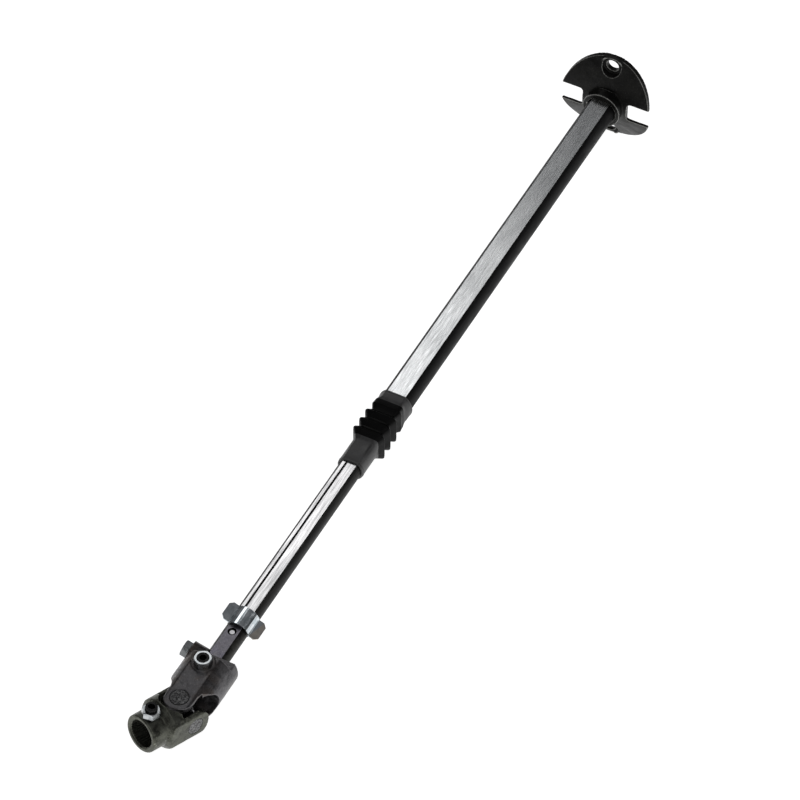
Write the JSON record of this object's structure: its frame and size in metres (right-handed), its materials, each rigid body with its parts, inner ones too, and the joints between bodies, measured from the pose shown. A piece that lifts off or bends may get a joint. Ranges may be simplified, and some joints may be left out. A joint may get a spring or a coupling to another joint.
{
  "type": "universal joint shaft",
  "caption": "Telescopic double-D steering shaft with a needle-bearing universal joint, rubber boot and bolt-on coupling flange.",
  "frame": {"origin": "centre of the coupling flange's outer face, on the shaft's axis", "axes": "+X along the shaft from the universal joint to the coupling flange; +Z normal to the upper flat of the double-D tube"},
  "size_m": [0.7862, 0.08, 0.085],
  "materials": {
    "blackened_steel": "dark oxide, semi-gloss",
    "tube_steel": "drawn steel, satin",
    "shaft_steel": "ground steel, satin",
    "nylon": "satin",
    "boot_rubber": "satin moulded rubber",
    "seal_rubber": "satin",
    "zinc_plate": "bright zinc plate",
    "bearing_steel": "textured grey",
    "yoke_steel": "forged and machined, dark",
    "lower_yoke_steel": "forged and machined, dark olive grey",
    "black_oxide": "black oxide"
  },
  "bodies": {
    "column_shaft": {"coupling_flange": "blackened_steel", "outer_tube": "tube_steel", "slide_liner": "nylon", "dust_boot": "boot_rubber"},
    "inner_shaft": {"inner_shaft": "shaft_steel", "retaining_clip": "zinc_plate", "retaining_pin": "bearing_steel", "upper_yoke": "yoke_steel", "upper_bearing_cup_top": "bearing_steel", "upper_needles_top": "bearing_steel", "upper_seal_top": "seal_rubber", "upper_bearing_cup_bottom": "bearing_steel", "upper_needles_bottom": "bearing_steel", "upper_seal_bottom": "seal_rubber", "upper_top_set_screw": "black_oxide", "upper_top_jam_nut": "zinc_plate", "upper_side_set_screw": "black_oxide", "upper_side_jam_nut": "zinc_plate"},
    "cross": {"cross": "bearing_steel"},
    "lower_yoke": {"lower_yoke": "lower_yoke_steel", "lower_bearing_cup_left": "bearing_steel", "lower_needles_left": "bearing_steel", "lower_seal_left": "seal_rubber", "lower_bearing_cup_right": "bearing_steel", "lower_needles_right": "bearing_steel", "lower_seal_right": "seal_rubber", "lower_set_screw": "black_oxide", "lower_jam_nut": "zinc_plate"}
  },
  "joints": [
    {"name": "telescope", "type": "slide", "parent": "column_shaft", "child": "inner_shaft", "axis": [1, 0, 0], "range_m": [-0.05, 0.14]},
    {"name": "upper_yoke_pivot", "type": "hinge", "parent": "inner_shaft", "child": "cross", "pos_m": [-0.728, 0, 0], "axis": [0, 0, 1], "range_deg": [-5, 45]},
    {"name": "lower_yoke_pivot", "type": "hinge", "parent": "cross", "child": "lower_yoke", "pos_m": [-0.728, 0, 0], "axis": [0.342, 0.9397, 0], "range_deg": [-35, 15]}
  ]
}
